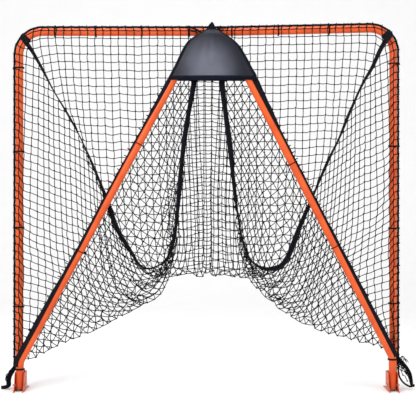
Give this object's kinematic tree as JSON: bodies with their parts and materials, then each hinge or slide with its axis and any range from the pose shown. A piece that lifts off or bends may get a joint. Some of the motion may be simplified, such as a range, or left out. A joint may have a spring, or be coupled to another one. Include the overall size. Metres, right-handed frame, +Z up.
{
  "type": "golf chipping net",
  "caption": "Folding ball practice net: a steel tube arch on pointed foot brackets, with a V-shaped ground frame hinged at its feet and folded up, and a slack square-mesh net between them",
  "frame": {"origin": "middle of the footprint, on the ground, between the two feet", "axes": "+Z up, X along the crossbar, +Y out of the mouth; the V frame unfolds toward -Y"},
  "size_m": [2.0605, 0.19, 1.8234],
  "materials": {
    "frame_paint": "glossy powder coat",
    "bare_steel": "satin",
    "zinc": "zinc plated",
    "black_plastic": "matte",
    "netting": "knotted twine",
    "cover_cloth": "coated woven cloth",
    "webbing": "woven webbing",
    "black_rope": "braided cord"
  },
  "bodies": {
    "arch": {"arch_border_rope": "black_rope", "arch_tube_left": "frame_paint", "arch_tube_right": "frame_paint", "border_tail_left": "black_rope", "border_tail_right": "black_rope", "corner_strap_left": "webbing", "corner_strap_right": "webbing", "crossbar_button_left": "zinc", "crossbar_button_right": "zinc", "crossbar_sleeve": "bare_steel", "crossbar_tie_1": "black_rope", "crossbar_tie_2": "black_rope", "crossbar_tie_3": "black_rope", "crossbar_tie_4": "black_rope", "crossbar_tie_5": "black_rope", "crossbar_tie_6": "black_rope", "crossbar_tie_7": "black_rope", "foot_bracket_left": "frame_paint", "foot_bracket_right": "frame_paint", "hinge_bolt_left": "zinc", "hinge_bolt_right": "zinc", "hinge_nut_left": "zinc", "hinge_nut_right": "zinc", "hinge_washer_left_in": "zinc", "hinge_washer_left_out": "zinc", "hinge_washer_right_in": "zinc", "hinge_washer_right_out": "zinc", "net_back": "netting", "net_left": "netting", "net_right": "netting", "post_tie_left_1": "black_rope", "post_tie_left_2": "black_rope", "post_tie_left_3": "black_rope", "post_tie_left_4": "black_rope", "post_tie_right_1": "black_rope", "post_tie_right_2": "black_rope", "post_tie_right_3": "black_rope", "post_tie_right_4": "black_rope", "seam_tape_left": "webbing", "seam_tape_right": "webbing"},
    "v_frame": {"apex_cover": "cover_cloth", "apex_sleeve": "bare_steel", "leg_tie_left_1": "black_rope", "leg_tie_left_2": "black_rope", "leg_tie_left_3": "black_rope", "leg_tie_right_1": "black_rope", "leg_tie_right_2": "black_rope", "leg_tie_right_3": "black_rope", "v_border_rope_left": "black_rope", "v_border_rope_right": "black_rope", "v_plug_left": "black_plastic", "v_plug_right": "black_plastic", "v_tube_left": "frame_paint", "v_tube_right": "frame_paint"}
  },
  "joints": [
    {"name": "v_frame_fold", "type": "hinge", "parent": "arch", "child": "v_frame", "pos_m": [0, -0.037, 0.029], "axis": [1, 0, 0], "range_deg": [0, 90.5], "deforming": ["net_back", "net_left", "net_right", "seam_tape_left", "seam_tape_right"]}
  ]
}
